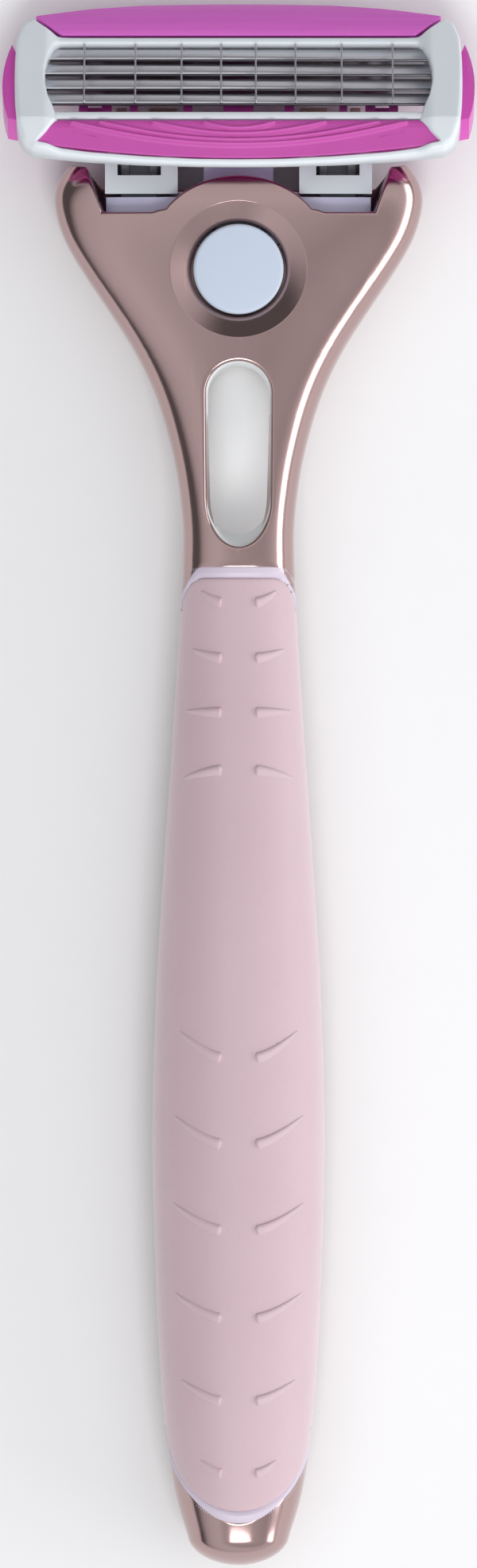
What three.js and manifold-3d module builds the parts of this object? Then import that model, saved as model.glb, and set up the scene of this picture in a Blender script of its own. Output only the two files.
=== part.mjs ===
// A cartridge razor, lying on its back: a long handle with a soft grip, a wide yoke with a round
// release button, and a pivoting four-blade cartridge on a pull-off connector.
// Millimetres. X runs across, +Y from the tail to the cartridge, +Z out of the shaving side.

import * as THREE from 'three';
import { mergeVertices } from 'three/addons/utils/BufferGeometryUtils.js';
import Module from 'manifold-3d';

const wasm = await Module();
wasm.setup();

// Driving dimensions. Places along the handle are counted from the tail tip.
const overallLength = 144.2;
const gap = 0.3;
const shellWall = 1.3;
const handleEnd = 129.3;
const seamHeight = 4.5;

// Half width, back height and front height of the handle along its length.
const halfWidthPoints = [
  [0, 1.4], [1, 3.2], [2.5, 4.5], [5, 5.45], [9, 6.28], [16, 7.03], [26, 7.58], [40, 7.91],
  [52, 7.6], [64, 6.9], [78, 5.95], [90, 5.25], [95, 5.12], [100, 5.6], [104, 6.45], [108, 7.7],
  [112, 9.6], [116, 12.15], [120, 14.8], [123, 16.4], [126.3, 17.1], [128.4, 16.3], [129.3, 15.4],
];
const backPoints = [
  [0, 4.3], [1, 2.9], [3, 1.6], [8, 0.2], [15, -0.5], [55, -0.5], [75, 0.8], [92, 1.9],
  [100, 1.6], [110, 0.1], [116, -0.4], [129.3, -0.4],
];
const frontPoints = [
  [0, 6.7], [1, 8.1], [3, 9.5], [8, 11.2], [16, 12.2], [35, 13], [55, 12.4], [75, 10.9],
  [92, 9.6], [100, 9.5], [110, 9.6], [120, 9.6], [126, 9], [129.3, 7.8],
];
const squarenessPoints = [[0, 2.2], [90, 2.4], [112, 2.8], [129.3, 3.4]];
const stationList = [
  0, 1, 2.5, 4.5, 7, 10, 14, 20, 28, 36, 44, 52, 60, 68, 76, 84, 90, 94, 97, 100, 102, 104, 106,
  108, 110, 112, 114, 116, 118, 120, 121.5, 123, 124.5, 126.3, 127.4, 128.4, 129.3,
];

// Soft grip on the front of the handle, and the pale carrier that frames it.
const grip = { tailCentre: 13, tailRadiusX: 6.9, tailRadiusY: 8.8, top: 92, cornerX: 3.8, cornerDrop: 2.8 };
const rimWidth = 1;
const carrierHeight = 1.1;

// Slot through the neck.
const neckSlot = { low: 95.6, high: 110.8, halfWidth: 2.8, shellMargin: 0.3 };

// Round release button and the dish around it.
const button = { y: 119.5, radius: 4.15, top: 9.15, bottom: 7.6 };
const dish = { outerRadius: 6.3, innerRadius: 4.75, top: 9.7, floor: 8.9, holeRadius: 4.45 };
const rampOffset = 115.6;

// Docking bay between the horns of the yoke.
const bay = { edge: 124.5, halfWidth: 12.8, hornX: 14.5, hornY: 129.3, humpRadius: 8.5, floorEdge: 127.2 };
const nose = {
  low: 122, high: 126.2, halfWidth: 12.2, bottom: 1.25, top: 7.3, tipHalfWidth: 3.2, tipEnd: 129,
};
const arm = { inner: 5.6, outer: 12.3, start: 126.5, bottom: 2.4, top: 7.6 };
const socket = { inner: 7.15, outer: 11.15, bottom: 3.65, top: 6.55 };
const plunger = { z: 2.75, radius: 1, start: 126.4, tip: 130.5 };
const ejector = { halfWidth: 2.1, bottom: 4.75, top: 5.7, end: 127.5 };

// Cartridge: its own frame has u across, v from the guard edge to the cap edge, and n out of the face.
const cartridge = { y: 137.07, z: 8.2, tiltDegrees: 35 };
const pivot = { v: -2.5, n: -5.8, pinRadius: 0.9, lugInner: 12.6, lugOuter: 14.2, lugRadius: 2 };
const blades = { count: 4, firstEdge: 2.45, pitch: 1.72, width: 1.4, thickness: 0.15, slopeDegrees: 15,
  edgeHeight: -0.25, halfLength: 18.6 };
const supportLegs = [2.5, 2.5, 2.5, 0.8];
const wirePlaces = [-14.2, -9.5, -5.25, -1.6, 1.6, 5.25, 9.5, 14.2];
const ribSpans = [[-0.2, 1.4], [4.25, 5.1], [9.3, 10], [11.7, 12.6], [13.9, 14.7]];
const tongueSpans = [[5.7, 8.3], [10.35, 11.35]];

const tilt = THREE.MathUtils.degToRad(cartridge.tiltDegrees);
const pivotY = cartridge.y + pivot.v * Math.cos(tilt) + pivot.n * Math.sin(tilt);
const pivotZ = cartridge.z - pivot.v * Math.sin(tilt) + pivot.n * Math.cos(tilt);

function toSolid(geometry) {
  const bare = geometry.index ? geometry.toNonIndexed() : geometry.clone();
  bare.deleteAttribute('normal');
  bare.deleteAttribute('uv');
  const merged = mergeVertices(bare, 1e-4);
  const mesh = new wasm.Mesh({
    numProp: 3,
    vertProperties: new Float32Array(merged.attributes.position.array),
    triVerts: new Uint32Array(merged.index.array),
  });
  return new wasm.Manifold(mesh);
}

function toGeometry(solid) {
  const mesh = solid.getMesh();
  const geometry = new THREE.BufferGeometry();
  geometry.setAttribute('position', new THREE.BufferAttribute(mesh.vertProperties, 3));
  geometry.setIndex(new THREE.BufferAttribute(mesh.triVerts, 1));
  geometry.computeVertexNormals();
  return geometry;
}

function joined(solids) {
  return solids.reduce((whole, next) => whole.add(next));
}

// A smooth curve through [place, value] points that never overshoots them.
function smooth(points) {
  const slopes = points.map((point, i) => {
    if (i === 0 || i === points.length - 1) return 0;
    const before = (point[1] - points[i - 1][1]) / (point[0] - points[i - 1][0]);
    const after = (points[i + 1][1] - point[1]) / (points[i + 1][0] - point[0]);
    return before * after > 0 ? (2 * before * after) / (before + after) : 0;
  });
  return (place) => {
    const last = points.length - 2;
    let i = 0;
    while (i < last && place > points[i + 1][0]) i += 1;
    const span = points[i + 1][0] - points[i][0];
    const t = THREE.MathUtils.clamp((place - points[i][0]) / span, 0, 1);
    const keep = 2 * t ** 3 - 3 * t ** 2 + 1;
    const rise = slopes[i] * (t ** 3 - 2 * t ** 2 + t) + slopes[i + 1] * (t ** 3 - t ** 2);
    return keep * points[i][1] + (1 - keep) * points[i + 1][1] + span * rise;
  };
}

const halfWidthAt = smooth(halfWidthPoints);
const backAt = smooth(backPoints);
const frontAt = smooth(frontPoints);
const squarenessAt = smooth(squarenessPoints);

function box(x0, x1, y0, y1, z0, z1) {
  const geometry = new THREE.BoxGeometry(x1 - x0, y1 - y0, z1 - z0);
  geometry.translate((x0 + x1) / 2, (y0 + y1) / 2, (z0 + z1) / 2);
  return toSolid(geometry);
}

// A pair of boxes, one on each side of the middle, between two distances from it.
function boxPair(near, far, y0, y1, z0, z1) {
  return box(near, far, y0, y1, z0, z1).add(box(-far, -near, y0, y1, z0, z1));
}

// A flat outline in X and Y, carried up from z0 to z1.
function plate(shape, z0, z1, curveSegments = 10) {
  const geometry = new THREE.ExtrudeGeometry(shape, { depth: z1 - z0, bevelEnabled: false, curveSegments });
  geometry.translate(0, 0, z0);
  return toSolid(geometry);
}

// An outline in Y and Z, carried across from x0 to x1.
function prism(points, x0, x1) {
  const shape = new THREE.Shape(points.map(([y, z]) => new THREE.Vector2(y, z)));
  const geometry = new THREE.ExtrudeGeometry(shape, { depth: x1 - x0, bevelEnabled: false });
  geometry.translate(0, 0, x0);
  const turn = new THREE.Matrix4().makeBasis(
    new THREE.Vector3(0, 1, 0),
    new THREE.Vector3(0, 0, 1),
    new THREE.Vector3(1, 0, 0),
  );
  geometry.applyMatrix4(turn);
  return toSolid(geometry);
}

// A solid turned about Z from [radius, height] points that start and end on the axis.
function turned(points, sides = 32) {
  const geometry = new THREE.LatheGeometry(points.map(([r, z]) => new THREE.Vector2(r, z)), sides);
  geometry.rotateX(Math.PI / 2);
  return toSolid(geometry);
}

function rodAcross(radius, x0, x1, y, z, sides = 16) {
  const geometry = new THREE.CylinderGeometry(radius, radius, x1 - x0, sides);
  geometry.rotateZ(Math.PI / 2);
  geometry.translate((x0 + x1) / 2, y, z);
  return toSolid(geometry);
}

function rodAlong(radius, y0, y1, x, z, sides = 16) {
  const geometry = new THREE.CylinderGeometry(radius, radius, y1 - y0, sides);
  geometry.translate(x, (y0 + y1) / 2, z);
  return toSolid(geometry);
}

// A round-wire coil that climbs along Z from its low end.
function coil(radius, wireRadius, height, turns) {
  const points = [];
  const steps = turns * 10;
  for (let i = 0; i <= steps; i += 1) {
    const angle = (i / 10) * Math.PI * 2;
    points.push(new THREE.Vector3(radius * Math.cos(angle), radius * Math.sin(angle), (height * i) / steps));
  }
  const wire = new THREE.Shape();
  wire.absarc(0, 0, wireRadius, 0, Math.PI * 2);
  return new THREE.ExtrudeGeometry(wire, {
    steps,
    curveSegments: 3,
    bevelEnabled: false,
    extrudePath: new THREE.CatmullRomCurve3(points),
  });
}

// The handle's outer form, pulled in all round by a distance: a rounded section at each station.
function handleForm(inset, low, high, sides) {
  const inner = stationList.filter((y) => y > low + 0.4 && y < high - 0.4);
  const stations = [low, ...inner, high];
  const rows = stations.length - 1;
  const geometry = new THREE.CylinderGeometry(1, 1, 1, sides, rows);
  const place = geometry.attributes.position;
  for (let i = 0; i < place.count; i += 1) {
    const y = stations[Math.round((place.getY(i) + 0.5) * rows)];
    const radius = Math.min(1, Math.hypot(place.getX(i), place.getZ(i)));
    const angle = Math.atan2(place.getZ(i), place.getX(i));
    const power = 2 / squarenessAt(y);
    const across = Math.sign(Math.cos(angle)) * Math.abs(Math.cos(angle)) ** power;
    const upward = Math.sign(Math.sin(angle)) * Math.abs(Math.sin(angle)) ** power;
    const middle = (frontAt(y) + backAt(y)) / 2;
    const halfHeight = (frontAt(y) - backAt(y)) / 2 - inset;
    const halfWidth = halfWidthAt(y) - inset;
    place.setXYZ(i, radius * across * halfWidth, y, middle + radius * upward * halfHeight);
  }
  return toSolid(geometry);
}

// The grip seen from the front, grown by a distance at its two ends.
function gripOutline(growth) {
  const wide = 12;
  const radiusX = grip.tailRadiusX + growth;
  const radiusY = grip.tailRadiusY + growth;
  const top = grip.top + growth;
  const cornerX = grip.cornerX + growth / 2;
  const shape = new THREE.Shape();
  shape.moveTo(wide, grip.tailCentre + 1);
  shape.lineTo(wide, top - grip.cornerDrop - 0.4);
  shape.lineTo(cornerX + 1.6, top - grip.cornerDrop);
  shape.quadraticCurveTo(cornerX + 1.3, top, cornerX, top);
  shape.lineTo(-cornerX, top);
  shape.quadraticCurveTo(-cornerX - 1.3, top, -cornerX - 1.6, top - grip.cornerDrop);
  shape.lineTo(-wide, top - grip.cornerDrop - 0.4);
  shape.lineTo(-wide, grip.tailCentre + 1);
  shape.lineTo(-radiusX, grip.tailCentre);
  shape.absellipse(0, grip.tailCentre, radiusX, radiusY, Math.PI, Math.PI * 2, false, 0);
  return shape;
}

function slotOutline(growth) {
  const radius = neckSlot.halfWidth + growth;
  const shape = new THREE.Shape();
  shape.absarc(0, neckSlot.high - neckSlot.halfWidth, radius, 0, Math.PI, false);
  shape.absarc(0, neckSlot.low + neckSlot.halfWidth, radius, Math.PI, Math.PI * 2, false);
  return shape;
}

function bayOutline(edge) {
  const past = 1.5;
  const shape = new THREE.Shape();
  shape.moveTo(-bay.halfWidth, edge);
  shape.lineTo(bay.halfWidth, edge);
  shape.lineTo(bay.hornX, bay.hornY);
  shape.lineTo(bay.hornX, bay.hornY + past);
  shape.lineTo(-bay.hornX, bay.hornY + past);
  shape.lineTo(-bay.hornX, bay.hornY);
  return shape;
}

// Outline of the white face frame, in the cartridge's u and v.
function frameOutline() {
  const shape = new THREE.Shape();
  shape.moveTo(16.6, 4.85);
  shape.lineTo(-16.6, 4.85);
  shape.lineTo(-19, 6.9);
  shape.quadraticCurveTo(-20.3, 6.5, -20.5, 4.5);
  shape.lineTo(-20.6, -0.5);
  shape.lineTo(-20.4, -5.2);
  shape.quadraticCurveTo(-20, -7.4, -17.5, -7.7);
  shape.quadraticCurveTo(-9, -8.6, 0, -8.6);
  shape.quadraticCurveTo(9, -8.6, 17.5, -7.7);
  shape.quadraticCurveTo(20, -7.4, 20.4, -5.2);
  shape.lineTo(20.6, -0.5);
  shape.lineTo(20.5, 4.5);
  shape.quadraticCurveTo(20.3, 6.5, 19, 6.9);
  return shape;
}

function bladeWindow() {
  const path = new THREE.Path();
  path.moveTo(16.7, 4.2);
  path.quadraticCurveTo(18.9, 0.2, 16.7, -3.75);
  path.lineTo(-16.7, -3.75);
  path.quadraticCurveTo(-18.9, 0.2, -16.7, 4.2);
  return path;
}

// Outline of the guard pad, grown by a distance so that its pocket is a little larger.
function guardOutline(growth, Kind) {
  const path = new Kind();
  path.moveTo(16.6 + growth, -4.85 + growth);
  path.lineTo(18.6 + growth, -6.8 - growth);
  path.quadraticCurveTo(9, -8.05 - growth, 0, -8.05 - growth);
  path.quadraticCurveTo(-9, -8.05 - growth, -18.6 - growth, -6.8 - growth);
  path.lineTo(-16.6 - growth, -4.85 + growth);
  return path;
}

function stripOutline() {
  const shape = new THREE.Shape();
  shape.moveTo(-16.3, 5.15);
  shape.lineTo(16.3, 5.15);
  shape.lineTo(18.7, 7.2);
  shape.quadraticCurveTo(9, 9.2, 0, 9.2);
  shape.quadraticCurveTo(-9, 9.2, -18.7, 7.2);
  return shape;
}

// A bent sheet's section: a line of points given a thickness on its lower side.
function bandOutline(points, thickness) {
  const lower = points.map((point, i) => {
    const before = points[Math.max(0, i - 1)];
    const after = points[Math.min(points.length - 1, i + 1)];
    const along = new THREE.Vector2(after[0] - before[0], after[1] - before[1]).normalize();
    return [point[0] - along.y * -thickness, point[1] - along.x * thickness];
  });
  return [...points, ...lower.reverse()].reverse();
}

const outerForm = handleForm(0, 0, handleEnd, 28).intersect(box(-25, 25, -5, 150, 0, 20));
const hollow = handleForm(shellWall, 4, handleEnd - 1.7, 20);
const dockRoom = box(-nose.halfWidth - 0.4, nose.halfWidth + 0.4, 100, 140, -1, 20);
const dockHollow = handleForm(shellWall, 120, handleEnd + 0.5, 20).intersect(dockRoom);
const shellForm = outerForm.subtract(hollow).subtract(dockHollow);
const clearForm = handleForm(shellWall + gap, 7, handleEnd - 2.2, 20);
const aboveSeam = seamHeight + gap / 2;
const belowSeam = seamHeight - gap / 2;

function frontShell() {
  const zone = box(-25, 25, 88, 140, aboveSeam, 20).subtract(plate(gripOutline(gap), 0, 20));
  const dishCut = turned([[0, dish.floor], [dish.innerRadius, dish.floor], [dish.outerRadius, dish.top],
    [dish.outerRadius, dish.top + 2], [0, dish.top + 2]]).translate([0, button.y, 0]);
  const hole = turned([[0, 0], [dish.holeRadius, 0], [dish.holeRadius, 20], [0, 20]]);
  const hump = turned([[0, 0], [bay.humpRadius, 0], [bay.humpRadius, 20], [0, 20]]);
  const bayCut = plate(bayOutline(bay.edge), 0, 20).subtract(hump.translate([0, button.y, 0]));
  return shellForm
    .intersect(zone)
    .subtract(plate(slotOutline(neckSlot.shellMargin), 0, 20))
    .subtract(dishCut)
    .subtract(hole.translate([0, button.y, 0]))
    .subtract(bayCut);
}

function backShell() {
  const zone = box(-25, 25, grip.tailCentre + 1, 140, -1, belowSeam);
  const tongues = tongueSpans.map(([near, far]) => boxPair(near, far, bay.floorEdge - 2, 134.8, 0.3, 0.9));
  return shellForm
    .intersect(zone)
    .subtract(plate(slotOutline(neckSlot.shellMargin), -1, 20))
    .subtract(plate(bayOutline(bay.floorEdge), -1, 20))
    .add(joined(tongues));
}

function tailCap() {
  const zone = box(-25, 25, -1, grip.tailCentre + 0.7, -1, 20);
  return shellForm.intersect(zone).subtract(plate(gripOutline(gap), belowSeam, 20));
}

function gripCarrier() {
  const frame = plate(gripOutline(0), aboveSeam, 20);
  const pocket = plate(gripOutline(-rimWidth), aboveSeam + carrierHeight, 20);
  return shellForm.intersect(frame).subtract(pocket);
}

function frontGrip() {
  return shellForm.intersect(plate(gripOutline(-rimWidth - gap), aboveSeam + carrierHeight + gap, 20));
}

function innerCore() {
  const zone = box(-25, 25, 0, 113, -1, 20);
  return clearForm.intersect(zone).subtract(plate(slotOutline(0), -1, 20));
}

function dockingNose() {
  const base = box(-nose.halfWidth, nose.halfWidth, nose.low, nose.high, nose.bottom, nose.top);
  const tip = box(-nose.tipHalfWidth, nose.tipHalfWidth, nose.low, nose.tipEnd, nose.bottom, nose.top - 0.4);
  const latchPockets = boxPair(
    socket.inner, socket.outer,
    nose.low + 1, nose.high + 1,
    socket.bottom, socket.top,
  );
  const buttonRoom = turned([[0, 5], [button.radius + 0.4, 5], [button.radius + 0.4, 20], [0, 20]]);
  const ejectorSlot = box(
    -ejector.halfWidth - gap, ejector.halfWidth + gap,
    nose.low - 1, nose.tipEnd + 1,
    ejector.bottom - gap, ejector.top + gap,
  );
  return base
    .add(tip)
    .intersect(handleForm(shellWall + gap, 100, handleEnd, 20))
    .subtract(latchPockets)
    .subtract(buttonRoom.translate([0, button.y, 0]))
    .subtract(ejectorSlot)
    .subtract(rodAlong(plunger.radius + gap, nose.low + 0.9, nose.tipEnd + 1, 0, plunger.z));
}

function latchArm() {
  const stem = box(
    socket.inner + gap, socket.outer - gap,
    nose.low + 1.3, 130.4,
    socket.bottom + gap, socket.top - gap,
  );
  const relief = box(socket.inner + 1.1, socket.outer - 1.1, 127.4, 131, 3, 7);
  return stem.subtract(relief);
}

function releaseButton() {
  const cap = turned([[0, button.bottom], [button.radius, button.bottom], [button.radius, button.top - 0.25],
    [button.radius - 0.3, button.top], [0, button.top + 0.12]]).translate([0, button.y, 0]);
  const ears = box(-5.1, 5.1, button.y - 2, button.y + 2, button.bottom, button.bottom + 0.4);
  const stem = prism([[118.2, 4], [119.6, 4], [122, 122 - rampOffset], [122, 7.8], [118.2, 7.8]], -1.6, 1.6);
  return cap.add(ears).add(stem);
}

function ejectorSlide() {
  const rampAt = (z) => rampOffset + 0.45 + z;
  return prism([
    [rampAt(ejector.bottom), ejector.bottom],
    [ejector.end, ejector.bottom],
    [ejector.end, ejector.top],
    [rampAt(ejector.top), ejector.top],
  ], -ejector.halfWidth, ejector.halfWidth);
}

function returnPlunger() {
  const collar = 0.35;
  const shaft = rodAlong(plunger.radius, plunger.start, plunger.tip - collar, 0, plunger.z);
  const tip = rodAlong(plunger.radius - collar, plunger.tip - 1, plunger.tip, 0, plunger.z);
  return shaft.add(tip);
}

function cartridgeConnector() {
  const side = [
    [arm.start, arm.bottom], [130.5, arm.bottom], [pivotY, pivotZ - 1.5], [pivotY + 1, pivotZ - 1],
    [pivotY + 1.4, pivotZ], [pivotY + 0.8, pivotZ + 1.1], [130.2, arm.top], [arm.start, arm.top],
  ];
  const arms = prism(side, arm.inner, arm.outer).add(prism(side, -arm.outer, -arm.inner));
  const sockets = boxPair(socket.inner, socket.outer, arm.start - 1, 130.8, socket.bottom, socket.top);
  const windows = boxPair(socket.inner, socket.outer, 128.2, 130.2, 6, 8);
  const bridge = box(-arm.inner - 1, arm.inner + 1, 129.4, 130.9, 4.9, 6.9);
  const pins = rodAcross(pivot.pinRadius, arm.outer - 0.5, pivot.lugOuter - 0.2, pivotY, pivotZ);
  const farPins = rodAcross(pivot.pinRadius, 0.2 - pivot.lugOuter, 0.5 - arm.outer, pivotY, pivotZ);
  return arms.subtract(sockets).subtract(windows).add(bridge).add(pins).add(farPins);
}

function cartridgeHousing() {
  const outline = new THREE.Shape();
  outline.moveTo(-20.1, 4.6);
  outline.lineTo(-20.1, -5.4);
  outline.lineTo(-17.2, -7.3);
  outline.lineTo(17.2, -7.3);
  outline.lineTo(20.1, -5.4);
  outline.lineTo(20.1, 4.6);
  outline.lineTo(18.4, 6.8);
  outline.quadraticCurveTo(9, 8.8, 0, 8.8);
  outline.quadraticCurveTo(-9, 8.8, -18.4, 6.8);
  const section = [
    [-7.4, -3.9], [-4.5, -4], [4.5, -4], [8.9, -2.75], [8.9, -1.8], [-4.8, -1.75], [-7.4, -3.05],
  ];
  const bulge = new THREE.Shape();
  bulge.moveTo(20.9, -5.2);
  bulge.quadraticCurveTo(22.6, -0.4, 20.9, 4.4);
  const side = plate(bulge, -3.6, -0.5).add(box(19.8, 21.1, -4, 3.2, -3.6, -1.75));
  const tray = plate(outline, -5, 0)
    .intersect(prism(section, -25, 25))
    .subtract(box(-18.9, 18.9, -4.25, 4.25, -6, 0))
    .add(side)
    .add(side.mirror([1, 0, 0]));
  const ribSection = [[-4.5, -4], [4.5, -4], [4.5, -3.6], [-1.7, -3.6], [-1.7, -1.9], [-4.5, -1.9]];
  const ribs = ribSpans.flatMap(([near, far]) => [
    prism(ribSection, near, far),
    prism(ribSection, -far, -near),
  ]);
  const lug = box(pivot.lugInner, pivot.lugOuter, pivot.v - 1.9, pivot.v + 1.9, pivot.n, -3.6)
    .add(rodAcross(pivot.lugRadius, pivot.lugInner, pivot.lugOuter, pivot.v, pivot.n))
    .subtract(rodAcross(pivot.pinRadius + gap, 0, 20, pivot.v, pivot.n));
  const camV = pivot.v + 2.2 * Math.sin(tilt);
  const camN = pivot.n - 2.2 * Math.cos(tilt);
  const cam = rodAcross(0.9, -1.4, 1.4, camV, camN).add(box(-1.4, 1.4, camV - 0.8, camV + 0.8, camN, -3.8));
  return joined([tray, ...ribs, lug, lug.mirror([1, 0, 0]), cam]);
}

function faceFrame() {
  const outline = frameOutline();
  outline.holes.push(bladeWindow());
  outline.holes.push(guardOutline(gap, THREE.Path));
  const sheet = plate(outline, -5, 2);
  const section = (rise) => [
    [-8.8, -3.4], [-4.8, -1.3], [9.3, -1.3], [9.3, rise - 0.5], [4.9, rise], [-4.8, rise],
    [-8.2, rise - 1.75], [-8.8, rise - 2.5],
  ];
  const bars = sheet.intersect(prism(section(0), -25, 25));
  const ends = sheet.intersect(prism(section(0.5), 16.3, 25).add(prism(section(0.5), -25, -16.3)));
  return bars.add(ends).subtract(box(-18.9, 18.9, -3.75, 4.2, -5, -0.05));
}

function lubricatingStrip() {
  const section = [[5, -1.45], [9.4, -1.45], [9.2, -0.7], [8.2, 0.05], [6.2, 0.3], [5, 0.15]];
  return plate(stripOutline(), -3, 2).intersect(prism(section, -25, 25));
}

function guardPad() {
  const section = [[-8.4, -2.9], [-4.7, -1.35], [-4.7, 0.1], [-5.4, 0], [-8, -1.5], [-8.4, -1.9]];
  return plate(guardOutline(0, THREE.Shape), -5, 2).intersect(prism(section, -25, 25));
}

// A point on a blade's section: a back from its cutting edge, b out of its upper side.
function bladePoint(index, a, b) {
  const slope = THREE.MathUtils.degToRad(blades.slopeDegrees);
  const edge = blades.firstEdge - blades.pitch * index;
  return [
    edge + a * Math.cos(slope) + b * Math.sin(slope),
    blades.edgeHeight - a * Math.sin(slope) + b * Math.cos(slope),
  ];
}

function blade(index) {
  const half = blades.thickness / 2;
  const corners = [[0, 0], [0.35, -half], [blades.width, -half], [blades.width, half], [0.35, half]];
  return prism(corners.map(([a, b]) => bladePoint(index, a, b)), -blades.halfLength, blades.halfLength);
}

function bladeSupport(index) {
  const bend = bladePoint(index, blades.width + 0.1, -0.4);
  const foot = [bend[0], bend[1] - supportLegs[index]];
  const section = bandOutline([bladePoint(index, 0.4, -0.4), bend, foot], 0.2);
  return prism(section, -blades.halfLength, blades.halfLength);
}

function guardWire(x) {
  return rodAlong(0.09, -2.95, 3.9, x, 0.16, 6);
}

const finishes = {
  roseGold: { color: 0xb58a83, roughness: 0.16, metalness: 0.95 },
  softPink: { color: 0xd6b3bf, roughness: 0.6, metalness: 0 },
  paleRim: { color: 0xd8cde0, roughness: 0.4, metalness: 0 },
  white: { color: 0xe2e6ea, roughness: 0.35, metalness: 0 },
  paleBlue: { color: 0xc9d4e3, roughness: 0.4, metalness: 0 },
  lavender: { color: 0xb4b0cf, roughness: 0.35, metalness: 0 },
  magenta: { color: 0xc9459f, roughness: 0.4, metalness: 0 },
  lubricant: { color: 0xbb5ab0, roughness: 0.55, metalness: 0 },
  steel: { color: 0xa8a9b0, roughness: 0.25, metalness: 1 },
  darkPlastic: { color: 0x6f7674, roughness: 0.5, metalness: 0 },
};

function part(name, solid, finish) {
  const mesh = new THREE.Mesh(toGeometry(solid), new THREE.MeshStandardMaterial(finishes[finish]));
  mesh.name = name;
  return mesh;
}

function springPart(name, geometry) {
  const mesh = new THREE.Mesh(geometry, new THREE.MeshStandardMaterial(finishes.steel));
  mesh.name = name;
  return mesh;
}

const group = new THREE.Group();
group.position.set(0, -overallLength / 2, 0);

group.add(part('front_shell', frontShell(), 'roseGold'));
group.add(part('back_shell', backShell(), 'roseGold'));
group.add(part('tail_cap', tailCap(), 'roseGold'));
group.add(part('grip_carrier', gripCarrier(), 'paleRim'));
group.add(part('front_grip', frontGrip(), 'softPink'));
group.add(part('inner_core', innerCore(), 'white'));
group.add(part('docking_nose', dockingNose(), 'lavender'));
group.add(part('latch_arm_right', latchArm(), 'darkPlastic'));
group.add(part('latch_arm_left', latchArm().mirror([1, 0, 0]), 'darkPlastic'));
group.add(part('release_button', releaseButton(), 'paleBlue'));
group.add(part('ejector_slide', ejectorSlide(), 'white'));
group.add(part('return_plunger', returnPlunger(), 'lavender'));
group.add(part('cartridge_connector', cartridgeConnector(), 'white'));

const buttonSpring = springPart('button_spring', coil(1.3, 0.18, 1.9, 4));
buttonSpring.position.set(0, button.y, 1.45);
group.add(buttonSpring);

const plungerSpring = springPart('plunger_spring', coil(0.8, 0.13, 2.7, 5));
plungerSpring.position.set(0, nose.low + 1.35, plunger.z);
plungerSpring.rotation.x = -Math.PI / 2;
group.add(plungerSpring);

const head = new THREE.Group();
head.position.set(0, cartridge.y, cartridge.z);
head.rotation.x = -tilt;
group.add(head);

head.add(part('cartridge_housing', cartridgeHousing(), 'magenta'));
head.add(part('face_frame', faceFrame(), 'white'));
head.add(part('lubricating_strip', lubricatingStrip(), 'lubricant'));
head.add(part('guard_pad', guardPad(), 'magenta'));
for (let i = 0; i < blades.count; i += 1) {
  head.add(part(`blade_${i + 1}`, blade(i), 'steel'));
  head.add(part(`blade_support_${i + 1}`, bladeSupport(i), 'steel'));
}
wirePlaces.forEach((x, i) => {
  head.add(part(`guard_wire_${i + 1}`, guardWire(x), 'steel'));
});

export default group;
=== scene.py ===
import math

import bmesh
import bpy
import numpy as np
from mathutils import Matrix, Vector


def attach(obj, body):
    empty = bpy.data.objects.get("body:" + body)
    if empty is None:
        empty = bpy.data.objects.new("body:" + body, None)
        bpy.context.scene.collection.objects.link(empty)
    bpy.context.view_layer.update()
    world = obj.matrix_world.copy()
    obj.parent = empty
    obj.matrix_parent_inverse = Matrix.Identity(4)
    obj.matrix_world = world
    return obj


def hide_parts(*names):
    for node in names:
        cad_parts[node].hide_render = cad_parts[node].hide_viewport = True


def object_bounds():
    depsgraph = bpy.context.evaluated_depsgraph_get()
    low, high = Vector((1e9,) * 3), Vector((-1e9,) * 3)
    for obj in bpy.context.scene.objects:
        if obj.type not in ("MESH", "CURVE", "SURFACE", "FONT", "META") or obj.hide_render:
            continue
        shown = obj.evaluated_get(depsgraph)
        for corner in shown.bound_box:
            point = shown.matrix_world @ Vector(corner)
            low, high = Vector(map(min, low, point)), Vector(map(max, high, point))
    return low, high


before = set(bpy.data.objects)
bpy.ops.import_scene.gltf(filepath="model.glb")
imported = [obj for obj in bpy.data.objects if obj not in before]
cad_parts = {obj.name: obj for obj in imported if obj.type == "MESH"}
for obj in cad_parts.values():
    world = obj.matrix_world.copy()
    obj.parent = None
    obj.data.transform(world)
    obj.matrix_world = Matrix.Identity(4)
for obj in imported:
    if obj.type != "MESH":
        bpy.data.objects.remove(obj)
cadLow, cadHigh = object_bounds()
mm = 0.001
tailY = cadLow.y  # the handle is measured from its tail tip
print("frame loaded:", len(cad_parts), "nodes")


class Signal:
    # a shader value; each arithmetic step on it adds one Math node
    def __init__(self, finish, socket):
        self.finish, self.socket = finish, socket

    def step(self, operation, first, second=None):
        values = {0: first} if second is None else {0: first, 1: second}
        return self.finish.node("ShaderNodeMath", {"operation": operation}, values)

    def __add__(self, other):
        return self.step("ADD", self, other)

    def __radd__(self, other):
        return self.step("ADD", other, self)

    def __sub__(self, other):
        return self.step("SUBTRACT", self, other)

    def __mul__(self, other):
        return self.step("MULTIPLY", self, other)

    def clamped(self):
        return self.step("MINIMUM", self.step("MAXIMUM", self, 0.0), 1.0)


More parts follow.
